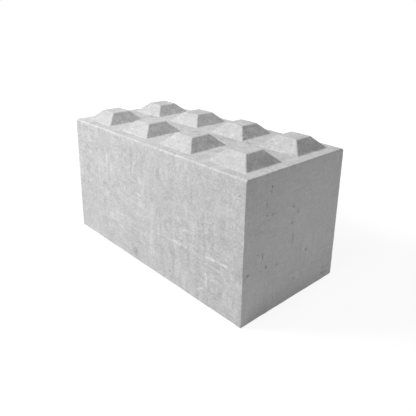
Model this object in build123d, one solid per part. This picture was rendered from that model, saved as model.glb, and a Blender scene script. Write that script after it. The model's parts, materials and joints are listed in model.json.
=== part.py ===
from build123d import *
import math
import os

# Stackable concrete block, cast in one piece and laid dry in interlocking walls.
# Millimetres. X runs along the length, Y across, Z up.
# The origin is the middle of the underside.

# Body
length = 1600.0
width = 800.0
height = 800.0  # from the underside to the bed that the studs stand on
long_edge_chamfer = 9.0  # level and upright leg of the cut along the bed's two long edges
end_edge_radius = 3.0  # outline of the two end faces
bottom_edge_radius = 3.0  # long edges of the underside

# Interlock grid, shared by the studs on top and the pockets underneath
grid_pitch = 400.0

# Studs: truncated square pyramids
stud_base = 272.0  # side of the square at the bed
stud_top = 130.0  # side of the square on top
stud_height = 67.0
stud_edge_radius = 8.0  # sloped edges and the rim of the top
stud_root_radius = 12.0  # hollow where the flanks meet the bed

# Pockets: the studs' pyramid made larger by these gaps, so that a block above rests on the bed
pocket_side_gap = 10.0  # level distance from a stud's flank to the pocket's
pocket_top_gap = 8.0  # from a stud's top to the pocket's ceiling
pocket_edge_radius = 8.0  # sloped corners and the rim of the ceiling
pocket_mouth_radius = 10.0  # rounded lip where the pocket opens in the underside

same_place = 0.01  # how near two places have to be to count as the same


def grid_squares(side):
    """How many whole squares of the interlock grid fit along a side of the body."""
    return int(side / grid_pitch + same_place)


def rounded_pyramid(base, rise, edge_radius):
    """A truncated square pyramid standing on the level plane, with the slope of a stud's flanks."""
    lean_from_upright = math.degrees(math.atan((stud_base - stud_top) / 2 / stud_height))
    pyramid = extrude(Rectangle(base, base), amount=rise, taper=lean_from_upright)
    edges_above_base = pyramid.edges().filter_by(lambda edge: edge.center().Z > same_place)
    return fillet(edges_above_base, edge_radius)


def cast_body():
    """The plain block: its cross-section run along the length, with both ends' outlines rounded."""
    section = Pos(0, height / 2) * Rectangle(width, height)
    corners_by_level = section.vertices().group_by(Axis.Y)
    section = chamfer(corners_by_level[-1], long_edge_chamfer)
    section = fillet(section.vertices().group_by(Axis.Y)[0], bottom_edge_radius)
    body = extrude(Plane.YZ * section, amount=length / 2, both=True)
    ends = body.faces().filter_by(Axis.X)
    return fillet(ends.edges(), end_edge_radius)


def outlines_at(solid, level):
    """Edges in a level plane that go round the studs or pockets, without the body's own outline."""

    def lies_flat(edge):
        reach = edge.bounding_box()
        return abs(reach.min.Z - level) < same_place and abs(reach.max.Z - level) < same_place

    def is_inside_outline(edge):
        rim = 2 * max(long_edge_chamfer, end_edge_radius, bottom_edge_radius)
        middle = edge.center()
        return abs(middle.X) < length / 2 - rim and abs(middle.Y) < width / 2 - rim

    return solid.edges().filter_by(lies_flat).filter_by(is_inside_outline)


def concrete_block():
    """The block with its studs on the bed and the matching pockets in the underside."""
    grid = GridLocations(grid_pitch, grid_pitch, grid_squares(length), grid_squares(width))
    stud = rounded_pyramid(stud_base, stud_height, stud_edge_radius)
    pocket = rounded_pyramid(
        stud_base + 2 * pocket_side_gap, stud_height + pocket_top_gap, pocket_edge_radius
    )
    block = cast_body()
    block += [Pos(0, 0, height) * place * stud for place in grid]
    block -= [place * pocket for place in grid]
    block = fillet(outlines_at(block, height), stud_root_radius)
    return fillet(outlines_at(block, 0), pocket_mouth_radius)


os.makedirs("parts", exist_ok=True)
export_step(concrete_block(), "parts/concrete_block.step")
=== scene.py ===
import json
import math

import bmesh
import bpy
import numpy as np
from mathutils import Matrix, Vector


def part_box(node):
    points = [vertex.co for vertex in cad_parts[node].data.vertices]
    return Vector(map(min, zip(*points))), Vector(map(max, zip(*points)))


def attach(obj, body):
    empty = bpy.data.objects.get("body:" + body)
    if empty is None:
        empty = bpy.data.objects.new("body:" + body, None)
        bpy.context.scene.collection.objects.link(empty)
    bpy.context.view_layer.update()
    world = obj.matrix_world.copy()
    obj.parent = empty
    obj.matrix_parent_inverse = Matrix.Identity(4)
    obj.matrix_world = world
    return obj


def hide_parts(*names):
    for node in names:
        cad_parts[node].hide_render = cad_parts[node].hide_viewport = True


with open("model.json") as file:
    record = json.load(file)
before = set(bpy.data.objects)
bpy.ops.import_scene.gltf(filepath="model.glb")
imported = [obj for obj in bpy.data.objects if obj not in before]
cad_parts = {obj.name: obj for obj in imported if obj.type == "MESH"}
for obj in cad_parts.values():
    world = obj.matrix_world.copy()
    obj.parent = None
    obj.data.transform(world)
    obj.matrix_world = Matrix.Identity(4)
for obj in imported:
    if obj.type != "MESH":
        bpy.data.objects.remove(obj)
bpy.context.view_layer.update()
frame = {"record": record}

# Sizes of the block
NODE = "concrete_block"
lowest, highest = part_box(NODE)
LENGTH = highest.x - lowest.x
WIDTH = highest.y - lowest.y
mounts = {mount["name"]: mount for mount in frame["record"]["mounts"]}
BED = mounts["top_bed"]["pos_m"][2]
RISE = highest.z - BED
PITCH = 0.4
COLUMNS, ROWS = 4, 2
STUD_BASE, STUD_TOP = 0.272, 0.130
SLOPE = (STUD_BASE - STUD_TOP) / 2 / RISE
SIDE_GAP, TOP_GAP = 0.010, 0.008
MOUTH = STUD_BASE + 2 * SIDE_GAP
DEPTH = RISE + TOP_GAP
CHAMFER = 0.009
STUD_FOOT = 0.02  # how far a stud's form reaches down into the body

# Rounding where two faces meet, as the radius that a square corner would get
BODY_RADIUS = 0.0035
CHAMFER_RADIUS = 0.0012
STUD_EDGE_RADIUS = 0.0034
STUD_RIM_RADIUS = 0.0022
STUD_ROOT_RADIUS = 0.0038
POCKET_EDGE_RADIUS = 0.0034
MOUTH_RADIUS = 0.0026
ROUNDED_OFF = 0.001  # how far a rounded arris lies inside the sharp one

# Size of the mesh's triangles
ARRIS_SPACING = 0.0090
POCKET_SPACING = 0.018
LARGEST_SPACING = 0.060
GROWTH = 0.6  # how fast triangles may grow away from an arris or a pit
PIT_SPACING = 0.62  # share of a pit's radius

# Working values of the mesh code
SAME_PLACE = 1e-6  # points nearer to each other than this become one
ON_PLANE = 1e-5  # how near to a plane a point on it lies
LEVEL_NORMAL = 0.9  # least upright part of a level face's normal
ARRIS_ANGLE = math.radians(10)  # least turn from face to face that makes an arris
SETTLE_STEPS = 7
SETTLE_PROBE, NORMAL_PROBE = 2e-5, 5e-5  # how far each way a slope is measured
LEAST_STEEPNESS = 0.25  # of the slope squared, so that no point leaps
NO_LENGTH = 1e-12  # stands in for a length of zero, which nothing may be divided by

# Unevenness of the cast surface: how much, the size of its waves and the seed of its noise
WEAR = (0.55, 0.05, 3)  # share by which the rounding grows or shrinks
SWELLS = ((0.0004, 0.27, 5), (0.00015, 0.11, 6))  # how far the faces stand proud or lie low
NOISE_CELLS = 32  # the noise repeats after this many waves

# Chips out of the convex arrises, each scooped by a slightly rough ball
CHIPS = 110
CHIP_RADIUS, CHIP_RADIUS_SPREAD = 0.005, 0.012
CHIP_DEPTH = (0.08, 0.22)  # range, as a share of the radius
DEEPEST_CHIP = 0.0020
CHIP_ROUGHNESS = (0.05, 0.006, 7)  # share of the radius, size of its waves and seed
CHIP_REACH = 1.1  # in radii, a little over what the roughness adds

# Pits, and how many there are besides those seen in the photograph
PIT_DEPTH, LEVEL_PIT_DEPTH = (0.7, 1.1), 0.8  # shares of the radius
PIT_RAGGEDNESS, PIT_WAVE, PIT_SEED = 0.28, 0.9, 11  # shares of the radius, and a seed
PIT_REACH = 1.6  # in radii, over what the raggedness adds
MORE_PITS = (("long", 16), ("back", 34), ("end", 6), ("far", 24))
PIT_RADIUS, PIT_RADIUS_SPREAD = 0.0032, 0.0035
PIT_MARGIN = 0.03  # least distance from a face's edges
STUD_PITS = (1, 2)  # fewest and most on one stud's top
STUD_PIT_RADIUS, STUD_PIT_SPREAD = (0.003, 0.0045), 0.048
BED_PITS = 14  # in the troughs along the block's middle and along both sides
BED_PIT_RADIUS, BED_PIT_SPREAD = (0.003, 0.005), 0.02
BED_PIT_MARGIN_X, BED_PIT_MARGIN_Y = 0.04, 0.034  # distances from the ends and the sides

random = np.random.default_rng(41)


def uneven(points, amount, wave, seed):
    """Smooth random values up to the amount either way, which change over about one wave."""
    table = np.random.default_rng(seed).uniform(-1, 1, (NOISE_CELLS, NOISE_CELLS, NOISE_CELLS))
    scaled = points / wave
    corner = np.floor(scaled).astype(int)
    part = scaled - corner
    part = part * part * (3 - 2 * part)
    total = np.zeros(len(points))
    for step in np.ndindex(2, 2, 2):
        share = np.prod(np.where(step, part, 1 - part), axis=1)
        x, y, z = ((corner + step) % NOISE_CELLS).T
        total += share * table[x, y, z]
    return amount * total


def overlap(first, second, radius):
    """Distance to what two solids share, with the edge between them rounded."""
    u = np.maximum(first + radius, 0)
    v = np.maximum(second + radius, 0)
    return np.minimum(-radius, np.maximum(first, second)) + np.hypot(u, v)


def union(first, second, radius):
    """Distance to two solids joined, with the corner between them filled."""
    return -overlap(-first, -second, radius)


def from_grid(coordinate, copies):
    """How far a coordinate is from the nearest middle of a row of copies."""
    number = np.clip(np.round(coordinate / PITCH + (copies - 1) / 2), 0, copies - 1)
    return coordinate - (number - (copies - 1) / 2) * PITCH


def pyramid(points, base, rise, edge_radius, rim_radius, level):
    """Distance to the nearest truncated pyramid of the grid, standing at this level."""
    x = np.abs(from_grid(points[:, 0], COLUMNS))
    y = np.abs(from_grid(points[:, 1], ROWS))
    height = points[:, 2] - level
    half = base / 2 - SLOPE * height
    lean = math.hypot(1, SLOPE)
    flanks = overlap((x - half) / lean, (y - half) / lean, edge_radius)
    return overlap(flanks, height - rise, rim_radius)


def block_distance(points, wear, swell):
    """Distance from the cast surface, below zero inside.

    Wear scales the radii, and the chamfer by its square root. Swell moves the surface outwards.
    """
    x = np.abs(points[:, 0]) - LENGTH / 2
    y = np.abs(points[:, 1]) - WIDTH / 2
    top = points[:, 2] - BED
    body = overlap(overlap(x, y, BODY_RADIUS * wear), top, BODY_RADIUS * wear)
    cut = (y + top + CHAMFER * wear**0.5) / math.sqrt(2)
    body = overlap(body, cut, CHAMFER_RADIUS * wear)
    body = overlap(body, -points[:, 2], BODY_RADIUS * wear)
    stud = pyramid(points, STUD_BASE, RISE, STUD_EDGE_RADIUS * wear, STUD_RIM_RADIUS * wear, BED)
    stud = np.maximum(stud, BED - STUD_FOOT - points[:, 2])
    solid = union(body, stud, STUD_ROOT_RADIUS)
    pocket = pyramid(points, MOUTH, DEPTH, POCKET_EDGE_RADIUS, POCKET_EDGE_RADIUS, 0)
    return overlap(solid, -pocket, MOUTH_RADIUS * wear) - swell


def change_in_distance(points, wear, swell, probe):
    """How much the distance changes along X, Y and Z, from a probe before each point to one past it."""
    change = np.empty_like(points)
    for axis in range(3):
        shift = np.zeros(3)
        shift[axis] = probe
        ahead = block_distance(points + shift, wear, swell)
        behind = block_distance(points - shift, wear, swell)
        change[:, axis] = ahead - behind
    return change


def settle(points, wear, swell):
    """Moves points onto the cast surface along its slope."""
    for _ in range(SETTLE_STEPS):
        here = block_distance(points, wear, swell)
        slope = change_in_distance(points, wear, swell, SETTLE_PROBE) / (2 * SETTLE_PROBE)
        steepness = np.maximum((slope**2).sum(1), LEAST_STEEPNESS)
        points = points - slope * (here / steepness)[:, None]
    return points


def surface_normals(points, wear, swell):
    """The way that the cast surface faces at points on it."""
    change = change_in_distance(points, wear, swell, NORMAL_PROBE)
    return change / np.maximum(np.linalg.norm(change, axis=1), NO_LENGTH)[:, None]


def grid_centres():
    """The middles of the studs and pockets."""
    for column in range(COLUMNS):
        for row in range(ROWS):
            yield (column - (COLUMNS - 1) / 2) * PITCH, (row - (ROWS - 1) / 2) * PITCH


def push_squares(bm, level, base, rise):
    """Pulls each square of the grid on this level up into a truncated pyramid."""
    scale = 1 - 2 * SLOPE * rise / base
    for x, y in grid_centres():
        region = []
        for face in bm.faces:
            middle = face.calc_center_median()
            is_level = abs(middle.z - level) < ON_PLANE and abs(face.normal.z) > LEVEL_NORMAL
            if is_level and max(abs(middle.x - x), abs(middle.y - y)) < base / 2:
                region.append(face)
        made = bmesh.ops.extrude_face_region(bm, geom=region)["geom"]
        bmesh.ops.delete(bm, geom=[f for f in region if f.is_valid], context="FACES")
        for vertex in (v for v in made if isinstance(v, bmesh.types.BMVert)):
            vertex.co.x = x + (vertex.co.x - x) * scale
            vertex.co.y = y + (vertex.co.y - y) * scale
            vertex.co.z += rise


def cut_through(bm, place, normal):
    """Cuts every face that a plane passes through."""
    geometry = [*bm.verts, *bm.edges, *bm.faces]
    bmesh.ops.bisect_plane(bm, geom=geometry, dist=SAME_PLACE, plane_co=place, plane_no=normal)


def in_order(points, triangles):
    """The points and triangles in an order that is the same each run, which bmesh's own isn't."""
    order = np.lexsort(np.round(points, 6).T)
    triangles = np.argsort(order)[triangles]
    first = triangles.argmin(1)
    triangles = np.take_along_axis(triangles, (first[:, None] + np.arange(3)) % 3, axis=1)
    return points[order], triangles[np.lexsort(triangles.T)]


def sharp_block():
    """The block with flat faces and sharp edges, as points, triangles and its arrises."""
    bm = bmesh.new()
    placed = Matrix.Translation((0, 0, BED / 2)) @ Matrix.Diagonal((LENGTH, WIDTH, BED, 1))
    bmesh.ops.create_cube(bm, size=1, matrix=placed)
    for x, y in grid_centres():
        for half in (STUD_BASE / 2, MOUTH / 2):
            for side in (-half, half):
                cut_through(bm, (x + side, 0, 0), (1, 0, 0))
                cut_through(bm, (0, y + side, 0), (0, 1, 0))
    bm.normal_update()
    push_squares(bm, BED, STUD_BASE, RISE)
    push_squares(bm, 0, MOUTH, DEPTH)
    bmesh.ops.remove_doubles(bm, verts=bm.verts, dist=SAME_PLACE)
    bmesh.ops.recalc_face_normals(bm, faces=bm.faces)
    arrises = []
    for edge in bm.edges:
        if len(edge.link_faces) != 2:
            raise ValueError("the sharp block isn't closed")
        if edge.calc_face_angle() > ARRIS_ANGLE:
            a, b = sorted(tuple(vertex.co) for vertex in edge.verts)
            outward = (edge.link_faces[0].normal + edge.link_faces[1].normal).normalized()
            arrises.append((*a, *b, *outward, float(edge.is_convex)))
    bmesh.ops.triangulate(bm, faces=bm.faces)
    bm.verts.index_update()
    points = np.array([vertex.co for vertex in bm.verts], float)
    triangles = np.array([[vertex.index for vertex in face.verts] for face in bm.faces])
    bm.free()
    return *in_order(points, triangles), np.array(sorted(arrises))


def distance_to_segments(points, segments):
    """Distance from each point to the nearest of some line segments."""
    nearest = np.full(len(points), np.inf)
    for start, end in segments:
        along = end - start
        share = np.clip((points - start) @ along / (along @ along), 0, 1)
        nearest = np.minimum(nearest, ((points - start - share[:, None] * along) ** 2).sum(1))
    return np.sqrt(nearest)


def quarter_arrises(base_x, base_y, top_x, top_y, low, high):
    """The arrises of a frustum in the quarter x > 0, y > 0. A box is a frustum with no slope."""
    foot, top = (base_x, base_y, low), (top_x, top_y, high)
    ends = [
        ((0, base_y, low), foot),
        ((base_x, 0, low), foot),
        ((0, top_y, high), top),
        ((top_x, 0, high), top),
        (foot, top),
    ]
    return [(np.array(a, float), np.array(b, float)) for a, b in ends]


BODY_ARRISES = quarter_arrises(LENGTH / 2, WIDTH / 2, LENGTH / 2, WIDTH / 2, 0, BED)
STUD_ARRISES = quarter_arrises(*[STUD_BASE / 2] * 2, *[STUD_TOP / 2] * 2, BED, BED + RISE)
POCKET_TOP = MOUTH / 2 - SLOPE * DEPTH
POCKET_ARRISES = quarter_arrises(*[MOUTH / 2] * 2, *[POCKET_TOP] * 2, 0, DEPTH)


def arris_distances(points):
    """Distance to the nearest arris of the body, of the studs and of the pockets."""
    in_block = np.abs(points)
    x = np.abs(from_grid(points[:, 0], COLUMNS))
    y = np.abs(from_grid(points[:, 1], ROWS))
    in_cell = np.c_[x, y, points[:, 2]]
    return (
        distance_to_segments(in_block, BODY_ARRISES),
        distance_to_segments(in_cell, STUD_ARRISES),
        distance_to_segments(in_cell, POCKET_ARRISES),
    )


def unique_edges(triangles):
    """The mesh's edges, and for each triangle the numbers of its three."""
    pairs = np.sort(triangles[:, [[0, 1], [1, 2], [2, 0]]].reshape(-1, 2), axis=1)
    keys = pairs[:, 0].astype(np.int64) * (int(triangles.max()) + 1) + pairs[:, 1]
    _, first, inverse = np.unique(keys, return_index=True, return_inverse=True)
    return pairs[first], inverse.reshape(-1, 3)


def refine(points, triangles, target):
    """Halves each edge longer than the target there, and the longest edge of every triangle met."""
    while True:
        edges, sides = unique_edges(triangles)
        lengths = np.linalg.norm(points[edges[:, 0]] - points[edges[:, 1]], axis=1)
        middles = points[edges].mean(1)
        halved = lengths > target(middles)
        if not halved.any():
            return points, triangles
        first = lengths[sides].argmax(1)
        rows = np.arange(len(sides))
        longest = sides[rows, first]
        while True:
            met = longest[halved[sides].any(1)]
            if halved[met].all():
                break
            halved[met] = True
        number = np.full(len(edges), -1)
        number[halved] = len(points) + np.arange(halved.sum())
        points = np.vstack([points, middles[halved]])
        turn = (first[:, None] + np.arange(3)) % 3
        a, b, c = triangles[rows[:, None], turn].T
        m, n, k = number[sides[rows[:, None], turn]].T
        pieces = (
            (a, b, c, m < 0),
            (a, m, c, (m >= 0) & (k < 0)),
            (a, m, k, k >= 0),
            (k, m, c, k >= 0),
            (m, b, c, (m >= 0) & (n < 0)),
            (m, b, n, n >= 0),
            (m, n, c, n >= 0),
        )
        triangles = np.vstack([np.stack(corners, 1)[chosen] for *corners, chosen in pieces])


def by_plane(pits):
    """The pits of each plane, listed under its normal and its distance from the origin."""
    planes = {}
    for centre, normal, radius, depth in pits:
        key = (*normal, round(float(centre @ normal), 6))
        planes.setdefault(key, []).append((centre, radius, depth))
    return planes


def on_plane(points, plane):
    """The numbers of the points that lie on a plane."""
    return np.flatnonzero(np.abs(points @ plane[:3] - plane[3]) < ON_PLANE)


def wanted_length(pits):
    """Longest edge allowed at a point: short at arrises and pits, growing away from them."""

    def target(points):
        body, stud, pocket = arris_distances(points)
        length = np.minimum(ARRIS_SPACING + GROWTH * np.minimum(body, stud), LARGEST_SPACING)
        length = np.minimum(length, POCKET_SPACING + GROWTH * pocket)
        for plane, group in by_plane(pits).items():
            near = on_plane(points, plane)
            for centre, radius, _ in group:
                away = np.maximum(np.linalg.norm(points[near] - centre, axis=1) - radius, 0)
                length[near] = np.minimum(length[near], radius * PIT_SPACING + GROWTH * away)
        return length

    return target


# Upright faces that pits lie on: a lower corner, the directions along and up the face, and its normal
FACES = {
    "long": ((-LENGTH / 2, -WIDTH / 2, 0), (LENGTH, 0, 0), (0, 0, BED), (0, -1, 0)),
    "back": ((-LENGTH / 2, WIDTH / 2, 0), (LENGTH, 0, 0), (0, 0, BED), (0, 1, 0)),
    "end": ((LENGTH / 2, -WIDTH / 2, 0), (0, WIDTH, 0), (0, 0, BED), (1, 0, 0)),
    "far": ((-LENGTH / 2, -WIDTH / 2, 0), (0, WIDTH, 0), (0, 0, BED), (-1, 0, 0)),
}

# Pits seen in the photograph on the near end and the long face: metres across from the face's left edge,
# down from its top, and the radius
END_PITS = (
    (0.188, 0.074, 0.0055),
    (0.182, 0.100, 0.0050),
    (0.158, 0.160, 0.0045),
    (0.160, 0.176, 0.0040),
    (0.160, 0.220, 0.0050),
    (0.204, 0.228, 0.0050),
    (0.372, 0.232, 0.0065),
    (0.420, 0.276, 0.0060),
    (0.370, 0.324, 0.0065),
    (0.142, 0.436, 0.0060),
    (0.142, 0.450, 0.0050),
    (0.104, 0.420, 0.0045),
    (0.036, 0.510, 0.0065),
    (0.172, 0.512, 0.0080),
    (0.136, 0.524, 0.0045),
    (0.260, 0.530, 0.0050),
    (0.512, 0.532, 0.0050),
    (0.368, 0.632, 0.0055),
    (0.416, 0.676, 0.0065),
    (0.244, 0.730, 0.0060),
    (0.732, 0.264, 0.0050),
    (0.694, 0.756, 0.0090),
    (0.704, 0.720, 0.0060),
)
LONG_PITS = (
    (0.630, 0.120, 0.0045),
    (0.210, 0.170, 0.0045),
    (0.120, 0.100, 0.0040),
    (0.120, 0.430, 0.0045),
    (0.385, 0.340, 0.0040),
)


def place_pits():
    """Pits as centre, normal, radius and depth: those in the photograph and some more all over."""
    pits = []

    def add(face, across, down, radius):
        corner, side, up, normal = (np.array(v, float) for v in FACES[face])
        centre = corner + side * across / np.linalg.norm(side) + up * (1 - down / BED)
        pits.append((centre, normal, radius, radius * random.uniform(*PIT_DEPTH)))

    def add_level(x, y, z, radius):
        pits.append((np.array((x, y, z)), np.array((0, 0, 1.0)), radius, radius * LEVEL_PIT_DEPTH))

    for across, down, radius in END_PITS:
        add("end", across, down, radius)
    for across, down, radius in LONG_PITS:
        add("long", across, down, radius)
    for face, count in MORE_PITS:
        wide = np.linalg.norm(FACES[face][1])
        for _ in range(count):
            radius = PIT_RADIUS + PIT_RADIUS_SPREAD * random.random() ** 3
            across = random.uniform(PIT_MARGIN, wide - PIT_MARGIN)
            add(face, across, random.uniform(PIT_MARGIN, BED - PIT_MARGIN), radius)
    fewest, most = STUD_PITS
    for x, y in grid_centres():
        for _ in range(random.integers(fewest, most + 1)):
            right, back = random.uniform(-STUD_PIT_SPREAD, STUD_PIT_SPREAD, 2)
            add_level(x + right, y + back, BED + RISE, random.uniform(*STUD_PIT_RADIUS))
    edge_x = LENGTH / 2 - BED_PIT_MARGIN_X
    troughs = (0.0, WIDTH / 2 - BED_PIT_MARGIN_Y, BED_PIT_MARGIN_Y - WIDTH / 2)
    for _ in range(BED_PITS):
        x = random.uniform(-edge_x, edge_x)
        y = random.choice(troughs) + random.uniform(-BED_PIT_SPREAD, BED_PIT_SPREAD)
        add_level(x, y, BED, random.uniform(*BED_PIT_RADIUS))
    return pits


def scoop_chips(points, arrises):
    """Knocks small hollows out of the convex arrises, and marks the points that lie in one."""
    hollow = np.zeros(len(points))
    convex = arrises[arrises[:, 9] > 0]
    spans = np.linalg.norm(convex[:, 3:6] - convex[:, :3], axis=1)
    picks = random.choice(len(convex), CHIPS, p=spans / spans.sum())
    for pick in picks:
        start, end, outward = convex[pick, :3], convex[pick, 3:6], convex[pick, 6:9]
        radius = CHIP_RADIUS + CHIP_RADIUS_SPREAD * random.random() ** 2
        depth = min(DEEPEST_CHIP, radius * random.uniform(*CHIP_DEPTH))
        on_arris = start + (end - start) * random.random()
        centre = on_arris + outward * (radius - depth - ROUNDED_OFF)
        near = np.flatnonzero(np.abs(points - centre).max(1) < radius * CHIP_REACH)
        away = points[near] - centre
        reach = np.linalg.norm(away, axis=1)
        rough = radius * (1 + uneven(points[near], *CHIP_ROUGHNESS))
        inside = reach < rough
        stretch = (rough[inside] / reach[inside])[:, None]
        points[near[inside]] = centre + away[inside] * stretch
        hollow[near[inside]] = 1
    return points, hollow


def press_pits(points, sharp_points, pits, hollow):
    """Sinks the pits into the surface, and marks the points that lie in one."""
    for plane, group in by_plane(pits).items():
        level = on_plane(sharp_points, plane)
        for centre, radius, depth in group:
            away = np.linalg.norm(sharp_points[level] - centre, axis=1)
            near = away < radius * PIT_REACH
            ragged = uneven(sharp_points[level[near]], PIT_RAGGEDNESS, radius * PIT_WAVE, PIT_SEED)
            edge = radius * (1 + ragged)
            inside = away[near] < edge
            chosen = level[near][inside]
            bowl = np.sqrt(1 - (away[near][inside] / edge[inside]) ** 2)
            points[chosen] -= np.array(plane[:3]) * (depth * bowl)[:, None]
            hollow[chosen] = 1
    return points, hollow


def build_block():
    """The whole block as one closed mesh."""
    sharp_points, triangles, arrises = sharp_block()
    pits = place_pits()
    sharp_points, triangles = refine(sharp_points, triangles, wanted_length(pits))
    wear = 1 + uneven(sharp_points, *WEAR)
    swell = sum(uneven(sharp_points, *values) for values in SWELLS)
    points = settle(sharp_points, wear, swell)
    points, hollow = scoop_chips(points, arrises)
    points, hollow = press_pits(points, sharp_points, pits, hollow)
    edge_distance = np.min(arris_distances(sharp_points), axis=0)

    mesh = bpy.data.meshes.new("block")
    mesh.from_pydata(points.tolist(), [], triangles.tolist())
    for name, values in (("hollow", hollow), ("edge_distance", edge_distance)):
        attribute = mesh.attributes.new(name, "FLOAT", "POINT")
        attribute.data.foreach_set("value", values)
    mesh.shade_smooth()
    mesh.validate()

    # Exact normals of the cast surface, except in and beside the chips and pits
    normals = np.empty(len(points) * 3)
    mesh.vertex_normals.foreach_get("vector", normals)
    normals = normals.reshape(-1, 3)
    exact = surface_normals(points, wear, swell)
    touched = np.zeros(len(points), bool)
    touched[triangles[(hollow[triangles] > 0).any(1)]] = True
    normals[~touched] = exact[~touched]
    mesh.normals_split_custom_set_from_vertices(normals.tolist())
    return mesh


class Nodes:
    """Builds a node tree: an input is a number, a colour or another node's output."""

    def __init__(self, tree):
        self.tree = tree
        self.tree.nodes.clear()

    def add(self, kind, inputs=None, **settings):
        node = self.tree.nodes.new("ShaderNode" + kind)
        for name, value in settings.items():
            setattr(node, name, value)
        for name, value in (inputs or {}).items():
            if isinstance(value, bpy.types.NodeSocket):
                self.tree.links.new(value, node.inputs[name])
            else:
                node.inputs[name].default_value = value
        return node

    def math(self, operation, first, second=0.5, third=0.5):
        return self.add("Math", {0: first, 1: second, 2: third}, operation=operation).outputs[0]

    def vector(self, operation, inputs, output="Vector"):
        return self.add("VectorMath", inputs, operation=operation).outputs[output]

    def noise(self, place, scale, detail, roughness=0.55, distortion=0.0, output="Fac"):
        inputs = {"Vector": place, "Scale": scale, "Detail": detail}
        inputs.update({"Roughness": roughness, "Distortion": distortion})
        return self.add("TexNoise", inputs).outputs[output]

    def mapped(self, place, offset, scale=(1, 1, 1)):
        inputs = {"Vector": place, "Location": offset, "Scale": scale}
        return self.add("Mapping", inputs).outputs[0]

    def ramp(self, value, low, high, out_low=0.0, out_high=1.0):
        inputs = {"Value": value, "From Min": low, "From Max": high}
        inputs.update({"To Min": out_low, "To Max": out_high})
        return self.add("MapRange", inputs, interpolation_type="SMOOTHSTEP").outputs[0]

    def attribute(self, name):
        return self.add("Attribute", attribute_name=name, attribute_type="GEOMETRY").outputs["Fac"]

    def total(self, values):
        values = list(values)
        while len(values) > 1:
            pairs = [self.math("ADD", *values[i : i + 2]) for i in range(0, len(values) - 1, 2)]
            values = pairs + values[len(values) - len(values) % 2 :]
        return values[0]


# Marks on the long face and on the near end, in metres: across from its left edge, down from its top,
# half sizes across and down, turn in degrees, and how much lighter or darker
LONG_MARKS = (
    (0.170, 0.085, 0.090, 0.060, 0, 0.045),
    (0.300, 0.200, 0.060, 0.120, 8, 0.030),
    (0.382, 0.205, 0.017, 0.070, 3, 0.130),
    (0.416, 0.180, 0.012, 0.060, -4, 0.120),
    (0.428, 0.250, 0.020, 0.034, 2, 0.190),
    (0.405, 0.325, 0.012, 0.030, 0, -0.180),
    (0.285, 0.300, 0.018, 0.022, 0, 0.120),
    (0.175, 0.200, 0.024, 0.018, 0, 0.110),
    (0.250, 0.155, 0.010, 0.024, 0, -0.120),
    (0.655, 0.112, 0.016, 0.018, 0, -0.095),
    (0.745, 0.245, 0.028, 0.050, 0, 0.110),
    (0.738, 0.341, 0.020, 0.016, 0, 0.230),
    (0.980, 0.522, 0.330, 0.007, 1.5, 0.100),
    (0.620, 0.538, 0.150, 0.010, 0.5, 0.060),
    (0.620, 0.508, 0.150, 0.009, 1.0, -0.050),
    (1.130, 0.512, 0.120, 0.008, 2.0, 0.130),
    (1.420, 0.500, 0.160, 0.007, 1.0, 0.100),
    (1.345, 0.505, 0.026, 0.010, 3, 0.190),
    (1.387, 0.499, 0.030, 0.012, -2, 0.220),
    (1.478, 0.496, 0.026, 0.013, 4, 0.220),
    (1.540, 0.488, 0.022, 0.010, -3, 0.210),
    (1.338, 0.645, 0.010, 0.065, 7, 0.230),
    (1.296, 0.714, 0.040, 0.012, 35, 0.230),
    (1.385, 0.600, 0.030, 0.012, 10, 0.070),
    (1.110, 0.375, 0.010, 0.036, 30, 0.060),
    (1.150, 0.420, 0.034, 0.009, 20, 0.060),
    (1.175, 0.370, 0.009, 0.030, -15, 0.055),
    (1.235, 0.395, 0.010, 0.032, 18, 0.055),
    (1.345, 0.330, 0.012, 0.040, -12, 0.055),
    (0.135, 0.500, 0.060, 0.011, 0, 0.080),
    (0.110, 0.475, 0.012, 0.030, 0, 0.040),
    (0.385, 0.668, 0.045, 0.010, 1, 0.090),
    (0.215, 0.724, 0.022, 0.014, 0, 0.120),
    (1.470, 0.360, 0.120, 0.006, 0.5, -0.085),
    (1.450, 0.352, 0.120, 0.006, 0.5, -0.040),
    (0.675, 0.745, 0.045, 0.045, 0, -0.150),
    (1.055, 0.590, 0.050, 0.050, 0, -0.085),
    (1.175, 0.545, 0.045, 0.022, -10, -0.095),
    (0.960, 0.735, 0.060, 0.035, 0, -0.050),
    (1.240, 0.675, 0.050, 0.055, 0, -0.045),
    (0.340, 0.390, 0.120, 0.060, 0, -0.025),
    (0.165, 0.285, 0.060, 0.080, 0, -0.030),
    (1.215, 0.215, 0.006, 0.080, 0, -0.100),
    (1.240, 0.105, 0.012, 0.035, 0, 0.080),
)
# On the near end one streak, then dark spots around its pits: painted shade of the pits
END_STREAK_AND_PIT_SHADE = (
    (0.376, 0.400, 0.006, 0.300, 0, -0.035),
    (0.386, 0.415, 0.012, 0.050, -6, -0.150),
    # Painted shade of the pits from here to the end of the list
    (0.362, 0.228, 0.028, 0.018, 0, -0.080),
    (0.410, 0.268, 0.020, 0.024, 0, -0.080),
    (0.368, 0.320, 0.018, 0.018, 0, -0.080),
    (0.150, 0.436, 0.016, 0.024, 0, -0.060),
    (0.050, 0.510, 0.022, 0.016, 0, -0.050),
    (0.180, 0.515, 0.020, 0.018, 0, -0.050),
    (0.268, 0.534, 0.020, 0.010, 10, -0.080),
    (0.525, 0.536, 0.024, 0.018, 0, -0.080),
    (0.388, 0.638, 0.012, 0.024, 0, -0.070),
    (0.430, 0.686, 0.020, 0.013, 20, -0.080),
    (0.152, 0.156, 0.009, 0.024, 0, -0.100),
    (0.725, 0.765, 0.030, 0.030, 0, -0.110),
)
MARK_THICKNESS = 0.03  # how far a mark's ellipse reaches through its face, each way
MARK_SOFTNESS = 0.75  # share of a mark over which it fades
MARK_SHIFT = 0.035  # how ragged the outlines are

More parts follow.
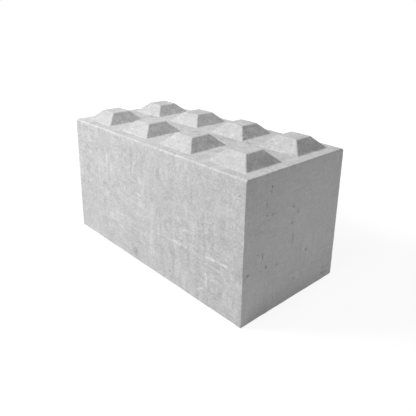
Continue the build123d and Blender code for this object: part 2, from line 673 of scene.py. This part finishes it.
# Tone of the concrete, and how much each layer of its texture makes it lighter or darker
ALBEDO = 0.55
CLOUD, MOTTLE, GRAIN, SAND = 0.16, 0.55, 0.88, 0.65
STREAK, LINES = 0.50, 0.54
MARKS, PATCHINESS = 1.5, (0.5, 1.2)  # the marks' strength, and its range from patch to patch
LEAST_WORN, MOST_WORN = -0.02, 0.15
# Darkening of the chips and pits, painted shade that is partly dirt too, and of the pinholes, painted
# shade
HOLLOW_SHADE_AND_DIRT, PINHOLE_SHADE = -0.03, -0.30
# How much of the texture is left in places: on the ends, of its clouds and mottling there, on flanks that
# face the near end, and on flanks that face a long side
END_CALM, END_EVEN, FLANK_ROUGH, SIDE_FLANK_CALM = 0.60, 0.60, 1.15, 0.82
# Where the normal's part along an axis begins and ends to count as a flank's, and as an upright face's
FLANK_FACING, FULL_FACING = (0.55, 0.66), (0.80, 0.95)
# How far each layer stands out in the bump
GRAIN_RELIEF, SAND_RELIEF, LINES_RELIEF, PINHOLE_RELIEF = 0.9, 0.35, 0.5, -1.5
BUMP_STRENGTH, BUMP_DISTANCE = 0.35, 0.0012


def marks_layer(nodes, place, marks, origin, axis):
    """The marks of one face added up.

    Each is a soft ellipse on the plane through the origin, normal to the axis.
    """
    made = []
    for across, down, wide, high, turn, strength in marks:
        if axis == "y":
            centre = (origin[0] + across, origin[1], origin[2] - down)
            size, spin = (wide, MARK_THICKNESS, high), (0, math.radians(-turn), 0)
        else:
            centre = (origin[0], origin[1] + across, origin[2] - down)
            size, spin = (MARK_THICKNESS, wide, high), (math.radians(turn), 0, 0)
        inputs = {"Vector": place, "Location": centre, "Rotation": spin, "Scale": size}
        moved = nodes.add("Mapping", inputs, vector_type="TEXTURE").outputs[0]
        ball = nodes.add("TexGradient", {"Vector": moved}, gradient_type="SPHERICAL").outputs["Fac"]
        made.append(nodes.math("MULTIPLY", nodes.ramp(ball, 0.0, MARK_SOFTNESS), strength))
    return nodes.total(made)


def concrete():
    """The material. Its tone adds up layers, each a share by which they change the plain tone."""
    material = bpy.data.materials.new("concrete")
    material.use_nodes = True
    nodes = Nodes(material.node_tree)
    coordinates = nodes.add("TexCoord").outputs
    place = coordinates["Object"]

    def around_zero(value, strength, mask=None):
        """A layer that lightens as much as it darkens, only where the mask is if it has one."""
        value = nodes.math("MULTIPLY_ADD", value, strength, -strength / 2)
        return value if mask is None else nodes.math("MULTIPLY", value, mask)

    def leaning(value):
        """One on the flanks that lean along an axis, and zero on every other face."""
        part, full = nodes.ramp(value, *FLANK_FACING), nodes.ramp(value, *FULL_FACING)
        return nodes.math("SUBTRACT", part, full)

    # Ends, and the sloping flanks of the studs
    facing = nodes.add("SeparateXYZ", {"Vector": coordinates["Normal"]}).outputs
    at_end = nodes.ramp(nodes.math("ABSOLUTE", facing["X"]), *FULL_FACING)
    upward = nodes.ramp(facing["Z"], low=0.0, high=0.3)
    at_flank = nodes.math("MULTIPLY", leaning(facing["X"]), upward)
    at_side_flank = leaning(nodes.math("ABSOLUTE", facing["Y"]))

    # Soft clouds, finer mottling, grain and sand
    cloud = nodes.noise(place, scale=4.0, detail=3.0)
    mottle = nodes.noise(place, scale=17.0, detail=4.0, roughness=0.62, distortion=1.2)
    grain = nodes.noise(place, scale=95.0, detail=3.0, roughness=0.6, distortion=0.8)
    sand = nodes.noise(place, scale=420.0, detail=1.0)

    # Upright runs of cement paste, and level lines that the form left, each in some places only
    streak_mask = nodes.ramp(nodes.noise(place, scale=3.1, detail=1.0), low=0.42, high=0.62)
    upright = nodes.mapped(place, offset=(3, 1, 0), scale=(1, 1, 0.16))
    streak = nodes.noise(upright, scale=34.0, detail=3.0)
    apart = nodes.mapped(place, offset=(7, 2, 5))
    lines_mask = nodes.ramp(nodes.noise(apart, scale=2.3, detail=1.0), low=0.40, high=0.60)
    level = nodes.mapped(place, offset=(0, 4, 2), scale=(0.14, 0.14, 1))
    lines = nodes.noise(level, scale=85.0, detail=3.0)

    # Pinholes, in those cells that pick a size above zero. They are dents in the bump, and their
    # darkening below is painted shade
    cells = nodes.add("TexVoronoi", {"Vector": place, "Scale": 36.0})
    pick = nodes.add("SeparateColor", {"Color": cells.outputs["Color"]}).outputs["Red"]
    reach = nodes.ramp(pick, low=0.55, high=1.0, out_low=0.0, out_high=0.085)
    inside = nodes.math("SUBTRACT", reach, cells.outputs["Distance"])
    pinhole = nodes.ramp(inside, low=0.0, high=0.03)

    # Marks, with ragged outlines and patchy strength. Those around the near end's pits are painted shade
    ragged = nodes.noise(place, scale=38.0, detail=3.0, roughness=0.5, output="Color")
    shift = nodes.vector("SUBTRACT", {0: ragged, 1: (0.5, 0.5, 0.5)})
    shift = nodes.vector("SCALE", {0: shift, "Scale": MARK_SHIFT})
    warped = nodes.vector("ADD", {0: place, 1: shift})
    long_marks = marks_layer(nodes, warped, LONG_MARKS, (-LENGTH / 2, -WIDTH / 2, BED), "y")
    end_streak_and_pit_shade = marks_layer(nodes, warped, END_STREAK_AND_PIT_SHADE, (LENGTH / 2, -WIDTH / 2, BED), "x")
    marks = nodes.math("ADD", long_marks, end_streak_and_pit_shade)
    patches = nodes.noise(place, scale=60.0, detail=2.0)
    weakest, strongest = (MARKS * share for share in PATCHINESS)
    patches = nodes.ramp(patches, low=0.30, high=0.60, out_low=weakest, out_high=strongest)
    marks = nodes.math("MULTIPLY", marks, patches)

    # Arrises are worn and lighter in places. Chips and pits are darker, as painted shade in them that is
    # partly dirt too, and pinholes are darker as painted shade
    near_arris = nodes.ramp(nodes.attribute("edge_distance"), low=0.0065, high=0.001)
    apart = nodes.mapped(place, offset=(2, 9, 4))
    worn = nodes.noise(apart, scale=9.0, detail=4.0)
    worn = nodes.ramp(worn, low=0.34, high=0.58, out_low=LEAST_WORN, out_high=MOST_WORN)
    worn = nodes.math("MULTIPLY", near_arris, worn)
    # Painted shade in the chips and pits, partly dirt too: the points marked hollow are darker
    hollow_shade_and_dirt = nodes.math("MULTIPLY", nodes.attribute("hollow"), HOLLOW_SHADE_AND_DIRT)
    # Painted shade in the pinholes: they are darker
    pinhole_shade = nodes.math("MULTIPLY", pinhole, PINHOLE_SHADE)

    # Tone
    soft = nodes.math("ADD", around_zero(cloud, CLOUD), around_zero(mottle, MOTTLE))
    even = nodes.math("MULTIPLY_ADD", at_end, END_EVEN - 1, 1.0)
    texture = nodes.total(
        (
            nodes.math("MULTIPLY", soft, even),
            around_zero(grain, GRAIN),
            around_zero(sand, SAND),
            around_zero(streak, STREAK, streak_mask),
            around_zero(lines, LINES, lines_mask),
        )
    )
    calm = nodes.math("MULTIPLY_ADD", at_end, END_CALM - 1, 1.0)
    calm = nodes.math("MULTIPLY_ADD", at_flank, FLANK_ROUGH - 1, calm)
    calm = nodes.math("MULTIPLY_ADD", at_side_flank, SIDE_FLANK_CALM - 1, calm)
    texture = nodes.math("MULTIPLY", texture, calm)
    tone = nodes.total((texture, marks, worn, hollow_shade_and_dirt, pinhole_shade))
    value = nodes.math("MULTIPLY_ADD", tone, ALBEDO, ALBEDO)
    colour = nodes.add("CombineColor", {"Red": value, "Green": value, "Blue": value}).outputs[0]

    # Relief too fine for the mesh
    relief = nodes.total(
        (
            nodes.math("MULTIPLY", grain, GRAIN_RELIEF),
            nodes.math("MULTIPLY", sand, SAND_RELIEF),
            nodes.math("MULTIPLY", pinhole, PINHOLE_RELIEF),
            nodes.math("MULTIPLY", nodes.math("MULTIPLY", lines, lines_mask), LINES_RELIEF),
        )
    )
    inputs = {"Height": relief, "Strength": BUMP_STRENGTH, "Distance": BUMP_DISTANCE}
    bump = nodes.add("Bump", inputs).outputs[0]
    roughness = nodes.ramp(mottle, low=0.25, high=0.75, out_low=0.97, out_high=0.84)
    inputs = {"Base Color": colour, "Roughness": roughness, "Normal": bump}
    inputs["Specular IOR Level"] = 0.3
    shader = nodes.add("BsdfPrincipled", inputs)
    nodes.add("OutputMaterial", {"Surface": shader.outputs[0]})
    return material


# The block
block = bpy.data.objects.new("cast_block", build_block())
bpy.context.collection.objects.link(block)
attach(block, "root")
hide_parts(NODE)
block.data.materials.append(concrete())


def seen_directly(nodes):
    """One for what the camera, mirrors and glass see, and zero for light on its way to a surface."""
    path = nodes.add("LightPath").outputs
    seen = nodes.math("MAXIMUM", path["Is Camera Ray"], path["Is Glossy Ray"])
    return nodes.math("MAXIMUM", seen, path["Is Transmission Ray"])


# Floor: a white light table just under the block's slightly uneven foot. What is seen of it is mostly its
# own white, which grows a little with the distance from the block, and the rest keeps the block's shadow.
FLOOR_HALF, FLOOR_LEVEL = 30, -0.001
FLOOR_ALBEDO = 0.8
FLOOR_WHITE, FLOOR_WHITE_FAR, WHITE_SHARE = 1.08, 1.25, 0.82
WHITE_GROWS_FROM, WHITE_GROWS_TO = 1.8, 5.0
corners = [(x * FLOOR_HALF, y * FLOOR_HALF, FLOOR_LEVEL) for x, y in ((-1, -1), (1, -1), (1, 1), (-1, 1))]
mesh = bpy.data.meshes.new("floor")
mesh.from_pydata(corners, [], [(0, 1, 2, 3)])
floor = bpy.data.objects.new("floor", mesh)
bpy.context.collection.objects.link(floor)
material = bpy.data.materials.new("floor")
material.use_nodes = True
nodes = Nodes(material.node_tree)
grey = (FLOOR_ALBEDO, FLOOR_ALBEDO, FLOOR_ALBEDO, 1)
diffuse = nodes.add("BsdfDiffuse", {"Color": grey}).outputs[0]
away = nodes.vector("LENGTH", {0: nodes.add("TexCoord").outputs["Object"]}, output="Value")
strength = nodes.ramp(away, WHITE_GROWS_FROM, WHITE_GROWS_TO, FLOOR_WHITE, FLOOR_WHITE_FAR)
white = nodes.add("Emission", {"Color": (1, 1, 1, 1), "Strength": strength}).outputs[0]
share = nodes.math("MULTIPLY", seen_directly(nodes), WHITE_SHARE)
mixed = nodes.add("MixShader", {0: share, 1: diffuse, 2: white}).outputs[0]
nodes.add("OutputMaterial", {"Surface": mixed})
mesh.materials.append(material)

# World: even light, and plain white where the camera sees it
AMBIENT = 0.14
world = bpy.data.worlds.new("world")
bpy.context.scene.world = world
world.use_nodes = True
nodes = Nodes(world.node_tree)
strength = nodes.math("MULTIPLY_ADD", seen_directly(nodes), 1 - AMBIENT, AMBIENT)
background = nodes.add("Background", {"Color": (1, 1, 1, 1), "Strength": strength}).outputs[0]
nodes.add("OutputWorld", {"Surface": background})

# Square lamps, aimed at the middle of the block: name, place and side in metres, and power in watts
LAMPS = (
    ("key", (-3.94, -4.70, 5.74), 2.0, 543),
    ("back", (0.00, 4.83, 1.89), 1.25, 74),
    ("front", (0.65, -2.41, 4.93), 1.25, 56),
    ("above", (-1.07, -0.90, 3.03), 0.70, 5.2),
    ("low", (2.20, 0.40, 0.22), 0.40, 3.6),
)
AIM = Vector((0, 0, 0.6))
for name, place, size, power in LAMPS:
    data = bpy.data.lights.new(name, "AREA")
    data.shape = "SQUARE"
    data.size = size
    data.energy = power
    lamp = bpy.data.objects.new(name, data)
    lamp.location = place
    lamp.visible_camera = False
    lamp.rotation_euler = (AIM - Vector(place)).to_track_quat("-Z", "Y").to_euler()
    bpy.context.collection.objects.link(lamp)

# Camera, fitted to the photograph: its side, its focal length and the point straight ahead in pixels,
# the camera's place in metres, and its angles in degrees
IMAGE = 416
FOCAL = 474.3
AHEAD_X, AHEAD_Y = 195, 160
CAMERA_PLACE = (2.153, -1.917, 1.560)
AZIMUTH, DOWN, ROLL = 48.40, 18.16, 0.40
SENSOR = 36
camera_data = bpy.data.cameras.new("camera")
camera_data.sensor_width = SENSOR
camera_data.lens = FOCAL / IMAGE * SENSOR
camera_data.shift_x = (IMAGE / 2 - AHEAD_X) / IMAGE
camera_data.shift_y = -(IMAGE / 2 - AHEAD_Y) / IMAGE
camera = bpy.data.objects.new("camera", camera_data)
turn = Matrix.Rotation(math.radians(AZIMUTH), 4, "Z")
turn = turn @ Matrix.Rotation(math.radians(90 - DOWN), 4, "X")
turn = turn @ Matrix.Rotation(math.radians(ROLL), 4, "Z")
camera.matrix_world = Matrix.Translation(CAMERA_PLACE) @ turn
bpy.context.collection.objects.link(camera)
bpy.context.scene.camera = camera
bpy.context.scene.view_settings.view_transform = "Standard"
